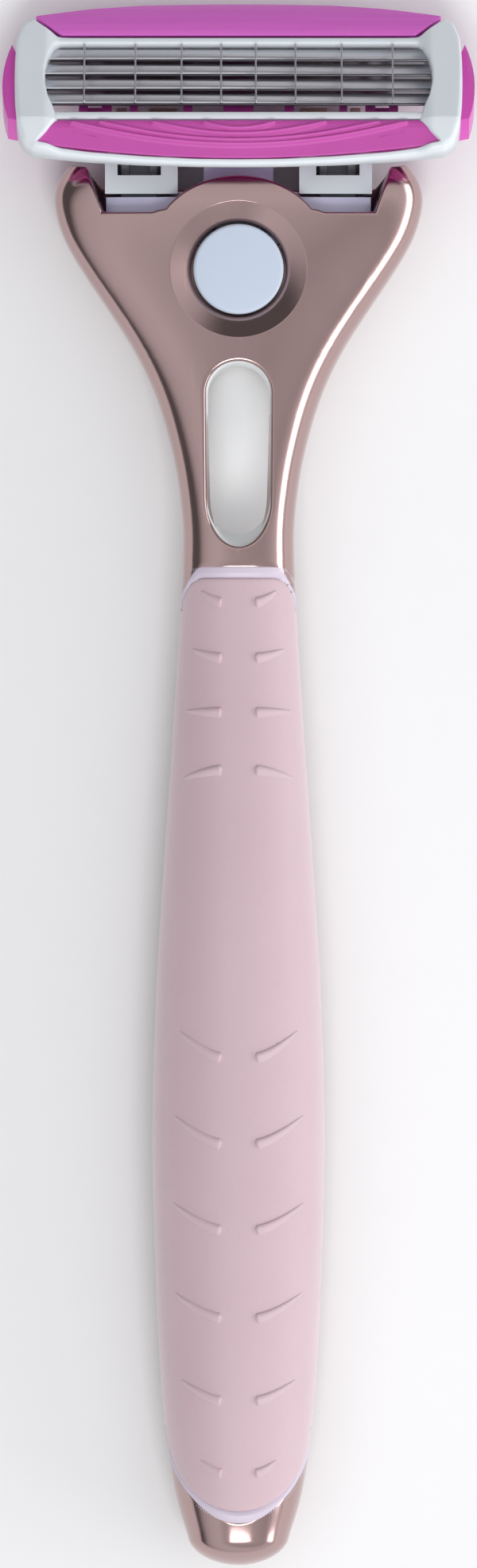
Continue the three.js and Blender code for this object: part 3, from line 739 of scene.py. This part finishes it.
def smoothedRing(values, reach):
    # a running average of values that go round
    weight = np.ones(2 * reach + 1) / (2 * reach + 1)
    return np.convolve(np.pad(values, reach, "wrap"), weight, "valid")


tail = {"reach": 6.7, "growth": 0.25, "backRoom": 0.75, "wall": 0.9, "roll": 0.12}


def tailCap():
    # the section's surface from the tip up to the grip's edge, with rows closest together at the tip
    rows, columns = 60, 180
    t = np.linspace(0, 1, rows)[:, None]
    angle = np.linspace(-math.pi, math.pi, columns, endpoint=False)[None, :]
    gripSide = gripEdge(tail["reach"] * np.cos(angle), tail["growth"])
    end = np.where(np.sin(angle) > -0.28, gripSide, handle["gripTail"] + tail["backRoom"])
    end = smoothedRing(end[0], 5)[None]
    y = end * (1 - np.cos(t * math.pi / 2))
    points = sectionPoint(y, angle + 0 * y)
    wall, roll = tail["wall"], tail["roll"]
    closedGrid("tail_cover", placed(points), "roseGold", "handle", "tail_cap", wall, roll, True)


carrier = {"aboveSeam": 0.2, "rim": 1.0, "sideRim": 1.45, "edge": 0.25, "depth": 0.9}


def gripCarrier():
    # the pale frame: its rim lies level with the covers, and its floor drops under the grip
    rows, columns = 220, 90
    points, angle, y = gripPatch(0.0, handle["seam"] + carrier["aboveSeam"], rows, columns)
    x, rim = points[..., 0], carrier["rim"]
    inward = np.minimum(y - gripEdge(x, -rim), gripTop(x, -rim) - y)
    inward = np.minimum(inward, (points[..., 2] - handle["seam"] - carrier["sideRim"]))
    points = sectionPoint(y, angle, -carrier["depth"] * np.clip(inward / carrier["edge"], 0, 1))
    closedGrid("grip_frame", placed(points), "rim", "handle", "grip_carrier", 0.8)


pad = {"inset": 1.2, "aboveSeam": 1.6, "lift": 0.02, "wall": 1.0, "roll": 0.22}


def softGrip():
    # the elastomer inside the rim, standing out by its lift
    low = handle["seam"] + pad["aboveSeam"]
    points, _, _ = gripPatch(-pad["inset"], low, 300, 90, pad["lift"])
    closedGrid("grip_pad", placed(points), "grip", "handle", "front_grip", pad["wall"], pad["roll"])


fins = {
    # place along the handle, inner and outer distance from the middle, and rise of the outer end
    "places": [(8.9, 1.5, 3.5, 1.1), (15.6, 1.5, 5.3, 1.8), (23.2, 1.5, 5.9, 2.2), (31.3, 1.5, 6.1, 2.4),
               (39.2, 1.5, 6.0, 2.5), (47.1, 1.5, 5.5, 2.4), (73.5, 1.5, 5.1, -0.9),
               (78.8, 1.5, 4.9, 0.0), (83.8, 1.5, 4.3, 0.7), (88.9, 1.5, 3.5, 1.0)],
    "section": [(0.34, -0.2), (0.36, -0.05), (0.32, 0.20), (0.15, 0.36), (-0.10, 0.36), (-0.38, 0.22),
                (-0.66, 0.04), (-0.9, -0.08), (-0.9, -0.2)],
    "curve": 1.5,
}


def gripFins():
    # each fin is a section carried along a curve on the grip, blunt toward the middle and fading outward
    parts = []
    section = np.array(fins["section"])
    s = np.linspace(0, 1, 36)
    for place, near, far, rise in fins["places"]:
        x = lerp(near, far, s)
        y = place + rise * s ** fins["curve"]
        centre = sectionPoint(y, angleAt(x, y))
        step = 0.05
        ahead = sectionPoint(y + step, angleAt(x, y + step)) - centre
        beside = sectionPoint(y, angleAt(x + step, y)) - centre
        up = np.cross(beside, ahead)
        up /= np.linalg.norm(up, axis=1, keepdims=True)
        along = np.gradient(centre, axis=0)
        across = np.cross(up, along)
        across /= np.linalg.norm(across, axis=1, keepdims=True)
        blunt = np.sqrt(np.clip(1 - (1 - np.clip(s / 0.07, 0, 1)) ** 2, 0, 1))
        grow = (blunt * (1 - s) ** 0.45 * 0.97 + 0.03)[:, None, None]
        rings = (centre[:, None] + across[:, None] * section[None, :, :1] * grow
                 + up[:, None] * (section[None, :, 1:] * grow - 0.02))
        parts += bodyPair(rings)
    joinedPiece("grip_fins", parts, "grip", "handle")


liner = {
    # the wall's section from inside over the top and back: radius, share of the height, and how far the
    # slot's lower end reaches out
    "section": [(2.80, 0.5, 0.8), (2.84, 0.86, 1.45), (2.92, 0.91, 1.6), (3.04, 0.93, 1.7),
                (3.2, 0.88, 1.7), (3.2, 0.12, 0.6), (3.04, 0.05, 0.6), (2.88, 0.06, 0.5),
                (2.80, 0.1, 0.4), (2.80, 0.2, 0.4), (2.80, 0.35, 0.5)],
    "under": 0.1,
}


def slotLiner():
    # the white wall of the neck's slot: a section carried round the slot's outline
    turn = np.linspace(0, math.pi, 40)
    low, high = yoke["slotLow"], yoke["slotHigh"]
    side = np.linspace(low, high, 24)[1:-1]
    path = np.concatenate([
        gathered(np.cos(turn), np.sin(turn), high),
        gathered(-1, 0, side[::-1]),
        gathered(-np.cos(turn), -np.sin(turn), low),
        gathered(1, 0, side),
    ])
    radius, share, flare = np.array(liner["section"] + liner["section"][:1]).T[..., None]
    x = radius * path[:, 0]
    y = radius * path[:, 1] + path[:, 2] - flare * np.clip(-path[:, 1], 0, 1) ** 1.5
    top, bottom = frontAt(y) - liner["under"], np.maximum(backAt(y), 0) + liner["under"]
    grid = gathered(x, y, lerp(bottom, top, share))
    verts, faces = mergedMesh([(placed(grid), gridFaces(len(grid), len(path), True)[:, ::-1])])
    addPiece("slot_liner", verts, faces, "liner", "handle", ["inner_core"])


pressCap = {
    "flat": 3.85, "crown": 0.14, "rimHeight": 9.14, "corner": 0.3,
    "side": [(4.15, 7.9), (4.05, 7.7), (3.9, 7.6), (2, 7.6), (0, 7.6)],
}


def releaseButton():
    # a shallow parabola for the crown, a quarter circle for the corner, and a straight side, turned
    flat, rimHeight, corner = pressCap["flat"], pressCap["rimHeight"], pressCap["corner"]
    r = np.linspace(0, flat, 14)
    a = np.linspace(0.2, math.pi / 2, 8)
    crown = gathered(r, rimHeight + pressCap["crown"] * (1 - (r / flat) ** 2))
    edge = gathered(flat + corner * np.sin(a), rimHeight - corner + corner * np.cos(a))
    profile = np.concatenate([crown, edge, pressCap["side"]])[::-1] * mm
    verts, faces = turnedBody(profile, (0, tailY + yoke["buttonY"] * mm, 0))
    addPiece("button_cap", verts, faces, "button", "button", ["release_button"])


tailCap()
gripCarrier()
softGrip()
gripFins()
slotLiner()
releaseButton()
print("handle made")

# the middle of the cartridge's face, and its lean
head = {"y": 137.07, "z": 8.2, "tilt": math.radians(35)}


def headPlaced(points):
    # from the cartridge's own frame (across, guard to cap, out of the face), turned about X by its lean
    c, s = math.cos(head["tilt"]), math.sin(head["tilt"])
    u, v, n = points[..., 0], points[..., 1], points[..., 2]
    return placed(gathered(u, head["y"] + v * c + n * s, head["z"] - v * s + n * c))


def throughKeys(keys, count):
    # a straight line through the keys, at even steps of their own count, blurred three times with 1-2-1
    keys = np.array(keys, float)
    place = np.linspace(0, len(keys) - 1, count)
    line = np.stack([np.interp(place, np.arange(len(keys)), column) for column in keys.T], -1)
    for _ in range(3):
        line[1:-1] = (line[:-2] + 2 * line[1:-1] + line[2:]) / 4
    return line


def frameHeight(u, v):
    # the face is flat, its ends stand higher, and its guard side slopes down
    rise = 0.5 * smoothStep((np.abs(u) - 16.3) / 1.6)
    return rise - 1.75 * np.clip((-4.8 - v) / 3.4, 0, 1.15) ** 1.1


faceKeys = {
    # the frame's inner and outer outline on the right, from the cap's middle round to the guard's middle
    "inner": [(0, 4.2), (8, 4.2), (16.5, 4.2), (16.95, 3.75), (17.5, 2.4), (17.8, 0.9), (17.8, -0.7),
              (17.5, -2.2), (17.0, -3.3), (16.75, -4.0), (16.6, -4.75), (17.6, -5.9), (18.6, -6.8),
              (14, -7.4), (9, -7.75), (4, -7.98), (0, -8.02)],
    "outer": [(0, 4.95), (8, 4.95), (16.5, 4.95), (17.9, 5.9), (19.0, 6.85), (19.9, 6.25), (20.45, 4.6),
              (20.6, 2.0), (20.62, -0.5), (20.55, -3.0), (20.35, -5.2), (19.8, -6.6), (18.8, -7.35),
              (14, -7.9), (9, -8.25), (4, -8.42), (0, -8.45)],
}


faceBar = {"middle": -4.16, "half": 0.41, "height": 0.30, "low": -0.28, "reach": 17.2}


def faceFrame():
    # straight spokes from the outer outline to the inner one, with a quarter circle at each end, then
    # down the inside, across the floor and up the outside
    inner, outer = throughKeys(faceKeys["inner"], 400), throughKeys(faceKeys["outer"], 400)
    inner = np.concatenate([inner, (inner * [-1, 1])[::-1][1:-1]])
    outer = np.concatenate([outer, (outer * [-1, 1])[::-1][1:-1]])
    inner, outer = smoothedLoop(inner, 3), smoothedLoop(outer, 5)
    width = np.linalg.norm(outer - inner, axis=1)
    corner = np.minimum(0.45, width * 0.42)
    turn = np.linspace(0, math.pi / 2, 8)[:, None]
    rolled, sunk = corner * (1 - np.cos(turn)), corner * (1 - np.sin(turn))
    between = np.linspace(0, 1, 10)[1:-1, None]
    share = np.concatenate([
        rolled / width, lerp(corner / width, 1 - corner / width, between), 1 - rolled[::-1] / width,
    ])
    drop = np.concatenate([sunk, 0 * corner + 0 * between, sunk[::-1]])
    flat = outer[None] + (inner - outer)[None] * share[..., None]
    n = frameHeight(flat[..., 0], flat[..., 1]) - drop
    top = np.concatenate([flat, n[..., None]], -1)
    floor = np.where(outer[:, 1] < -5, -2.45, np.where(np.abs(outer[:, 0]) > 17, -1.72, -1.2))
    floor = smoothedRing(floor, 6)
    insideFloor = np.concatenate([inner, np.minimum(floor, -1.2)[:, None]], -1)
    outsideFloor = np.concatenate([outer, floor[:, None]], -1)
    grid = np.concatenate([top, insideFloor[None], outsideFloor[None], top[:1]])
    verts, faces = mergedMesh([(headPlaced(grid), gridFaces(len(grid), len(outer), True)[:, ::-1])])
    addPiece("frame_ring", verts, faces, "frame", "cartridge", ["face_frame"])
    # the bar between the guard and the blades: half an ellipse on straight sides
    a = np.linspace(0, math.pi, 13)
    middle, half = faceBar["middle"], faceBar["half"]
    section = gathered(middle - half * np.cos(a), faceBar["low"] + faceBar["height"] * np.sin(a))
    section = np.concatenate([[(middle - half, -1.25)], section, [(middle + half, -1.25)]])
    u = np.linspace(-faceBar["reach"], faceBar["reach"], 60)[:, None]
    bar = gathered(u, section[:, 0], section[:, 1])
    addPiece("frame_bar", *carriedBody(headPlaced(bar)), "frame", "cartridge")


def smoothedLoop(points, reach):
    # a running average of each coordinate round a closed outline
    return np.stack([smoothedRing(column, reach) for column in points.T], -1)


def bezierLine(start, handlePoint, end, count=200):
    # the quadratic Bezier curve: (1 - t)^2 a + 2 t (1 - t) b + t^2 c
    t = np.linspace(0, 1, count)[:, None]
    a, b, c = np.array(start, float), np.array(handlePoint, float), np.array(end, float)
    return (1 - t) ** 2 * a + 2 * t * (1 - t) * b + t**2 * c


strip = {
    "reach": 18.6, "edge": [(0, 9.4), (9, 9.4), (18.7, 7.25)], "low": 5.12,
    "crown": [(5, 0.1), (5.5, 0.26), (6.2, 0.32), (7.2, 0.22), (8.2, 0.0), (8.8, -0.28), (9.3, -0.7)],
}


def lubricatingStrip():
    # columns run from the frame to the outer curve, and the height follows a crown across the strip
    u = np.linspace(-strip["reach"], strip["reach"], 240)[:, None]
    t = np.linspace(0, 1, 40)[None, :]
    edge = bezierLine(*strip["edge"])
    high = np.interp(np.abs(u), edge[:, 0], edge[:, 1])
    low = strip["low"] + np.clip((np.abs(u) - 16.3) / 2.4, 0, 1) * 2.0
    v = lerp(low, high - 0.12, t)
    n = np.interp(v, *np.array(strip["crown"]).T)
    points = gathered(u, v, n)
    closedGrid("lubricating_bar", headPlaced(points), "strip", "cartridge", "lubricating_strip", 1.0)


guardFins = {
    "halves": [3.4, 8.1, 13.0, 15.6], "sags": [0.60, 1.02, 1.52, 1.86], "end": -5.12,
    "width": 0.17, "height": 0.30, "reach": 18.45, "edge": [(0, -7.95), (9, -7.95), (18.5, -6.75)],
    "slope": [(-8.4, -1.75), (-8, -1.5), (-5.6, -0.12), (-5.2, 0.0), (-4.7, 0.02)],
}


def guardPad():
    # a sloping pad with curved fins: each adds a bell-shaped ridge along its own parabola
    columns, rows = 460, 90
    u = np.linspace(-guardFins["reach"], guardFins["reach"], columns)[:, None]
    t = np.linspace(0, 1, rows)[None, :]
    edge = bezierLine(*guardFins["edge"])
    low = np.interp(np.abs(u), edge[:, 0], edge[:, 1])
    high = -4.92 - np.clip((np.abs(u) - 16.6) / 2.0, 0, 1) * 1.85
    v = lerp(low, high, t)
    n = np.interp(v, *np.array(guardFins["slope"]).T)
    ridge = 0 * n
    for half, sag in zip(guardFins["halves"], guardFins["sags"]):
        arc = guardFins["end"] - sag * (1 - np.clip(u / half, -1, 1) ** 2)
        fade = smoothStep((half - np.abs(u)) / 0.25)
        bell = np.exp(-np.abs((v - arc) / guardFins["width"]) ** 2.6)
        ridge = np.maximum(ridge, guardFins["height"] * fade * bell)
    points = gathered(u, v, n + ridge - 0.05)
    closedGrid("guard_fins", headPlaced(points), "guard", "cartridge", "guard_pad", 1.0)


tray = {"from": -4.6, "above": -4.2, "half": 17.4, "edge": -6.35}


def tuckedUnder(piece):
    # draws the tray's guard side in to fixed limits across and along, so that it stays behind the lip
    count = len(piece.data.vertices)
    place = np.empty(count * 3)
    piece.data.vertices.foreach_get("co", place)
    place = place.reshape(-1, 3)
    c, s = math.cos(head["tilt"]), math.sin(head["tilt"])
    y, z = (place[:, 1] - tailY) / mm - head["y"], place[:, 2] / mm - head["z"]
    v, n = y * c - z * s, y * s + z * c
    low = (v < tray["from"]) & (n > tray["above"])
    u = np.where(low, np.clip(place[:, 0] / mm, -tray["half"], tray["half"]), place[:, 0] / mm)
    v = np.where(low, np.maximum(v, tray["edge"]), v)
    piece.data.vertices.foreach_set("co", headPlaced(gathered(u, v, n)).reshape(-1))
    piece.data.update()


wires = {"places": [-14.2, -9.5, -5.25, -1.6, 1.6, 5.25, 9.5, 14.2], "radius": 0.085, "height": 0.15,
         "low": -2.95, "high": 3.9}


def guardWires():
    # round wires across the blades: a circle carried along each
    a = np.linspace(0, 2 * math.pi, 12, endpoint=False)[None, :]
    v = np.linspace(wires["low"], wires["high"], 24)[:, None]
    radius = wires["radius"]
    for index, x in enumerate(wires["places"], 1):
        ring = gathered(x + radius * np.cos(a), v, wires["height"] + radius * np.sin(a))
        node = f"guard_wire_{index}"
        addPiece(node + "_round", *carriedBody(headPlaced(ring)), "blade", "cartridge", [node])


faceFrame()
lubricatingStrip()
guardPad()
guardWires()
softened = {
    # each piece's node, finish, body, corner width in millimetres and segments
    # the connector and the ejector take the darker, shaded copy of the white plastic, which is painted
    # shade
    "connector_soft": ("cartridge_connector", "white", "connector", 0.3, 3),
    "dock_soft": ("docking_nose", "lavender", "handle", 0.22),
    # the latch arms take the charcoal that paints the shade of the bay behind the connector
    "latch_right_soft": ("latch_arm_right", "grey", "handle", 0.15),
    "latch_left_soft": ("latch_arm_left", "grey", "handle", 0.15),
    "ejector_soft": ("ejector_slide", "white", "ejector", 0.1),
    "plunger_soft": ("return_plunger", "lavender", "plunger", 0.1),
}
tuckedUnder(softenedCopy("housing_soft", "cartridge_housing", "magenta", "cartridge", 0.14))
for index in range(1, 5):
    softenedCopy(f"blade_{index}_ground", f"blade_{index}", "blade", "cartridge", 0.015, 1)
    softenedCopy(f"blade_{index}_carrier", f"blade_support_{index}", "spring", "cartridge", 0.03, 1)
for name, facts in softened.items():
    softenedCopy(name, *facts)
for node in ("button_spring", "plunger_spring"):  # the coils keep their own form
    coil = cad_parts[node]
    if not coil.material_slots:
        coil.data.materials.append(finishes["spring"])
    coil.material_slots[0].material = finishes["spring"]
print("cartridge made")


room = {
    "distance": 1.1, "middleZ": 0.0075, "margin": 1.002, "floor": 1.5, "floorZ": -0.0002,
    # the room's brightness along one direction, which makes it darker on the left and past the head
    "lean": (0.28, -0.45, 0.85), "tint": (0.97, 0.975, 1.0),
    "stops": [(0.0, 0.14), (0.07, 0.11), (0.30, 0.64), (0.5, 0.78), (0.7, 0.84), (0.86, 0.54),
              (1.0, 0.66)],
    # each box: its place, its width and height, and its power in watts
    "boxes": {"rightBox": ((0.85, 0.0, 0.30), (1.2, 0.26), 3.6),
              "keyBox": ((0.05, -0.50, 1.0), (0.5, 0.35), 4.0)},
}


def overheadCamera():
    # straight above the middle, with the focal length at which the length fills the frame's height
    camera = bpy.data.objects.new("camera", bpy.data.cameras.new("camera"))
    bpy.context.scene.collection.objects.link(camera)
    bpy.context.scene.camera = camera
    length = cadHigh.y - cadLow.y
    camera.data.sensor_fit = "VERTICAL"
    camera.data.sensor_height = camera.data.sensor_width = 36
    camera.data.lens = 36 * (room["distance"] - room["middleZ"]) / (length * room["margin"])
    camera.location = (0.0, (cadHigh.y + cadLow.y) / 2, room["distance"])
    camera.data.clip_start, camera.data.clip_end = 0.01, 20


def paleFloor():
    # one large square just below the razor
    mesh = bpy.data.meshes.new("floor")
    corners = np.array([(-1, -1, 0), (1, -1, 0), (1, 1, 0), (-1, 1, 0)]) * room["floor"]
    mesh.from_pydata((corners + [0, 0, room["floorZ"]]).tolist(), [], [(0, 1, 2, 3)])
    floor = bpy.data.objects.new("floor", mesh)
    bpy.context.scene.collection.objects.link(floor)
    paper = Finish("paleFloor")
    fibre = paper.noise(0.004, 4)
    mesh.materials.append(paper.done(
        colour=paper.blend(fibre, (0.93, 0.93, 0.935), (0.95, 0.95, 0.95)), roughness=0.75 + fibre * 0.1,
    ))


def roomLight():
    # the room's brightness follows a ramp over the direction's dot product with the lean
    world = bpy.data.worlds.new("studio")
    bpy.context.scene.world = world
    world.use_nodes = True
    nodes, links = world.node_tree.nodes, world.node_tree.links
    direction = nodes.new("ShaderNodeTexCoord")
    lean = nodes.new("ShaderNodeVectorMath")
    lean.operation = "DOT_PRODUCT"
    lean.inputs[1].default_value = room["lean"]
    ramp = nodes.new("ShaderNodeValToRGB")
    while len(ramp.color_ramp.elements) < len(room["stops"]):
        ramp.color_ramp.elements.new(0.5)
    for element, (place, level) in zip(ramp.color_ramp.elements, room["stops"]):
        element.position = place
        element.color = (*(level * part for part in room["tint"]), 1)
    links.new(direction.outputs["Generated"], lean.inputs[0])
    links.new(lean.outputs["Value"], ramp.inputs["Fac"])
    links.new(ramp.outputs["Color"], nodes["Background"].inputs["Color"])
    nodes["Background"].inputs["Strength"].default_value = 1.0
    bpy.context.scene.view_settings.view_transform = "Standard"


def softBoxes():
    # rectangular area lights that face the razor
    for name, (place, size, power) in room["boxes"].items():
        light = bpy.data.lights.new(name, "AREA")
        light.shape, light.size, light.size_y = "RECTANGLE", size[0], size[1]
        light.energy = power
        lamp = bpy.data.objects.new(name, light)
        bpy.context.scene.collection.objects.link(lamp)
        lamp.location = place
        lamp.rotation_euler = (-Vector(place)).to_track_quat("-Z", "Y").to_euler()


overheadCamera()
paleFloor()
roomLight()
softBoxes()
print("studio made")
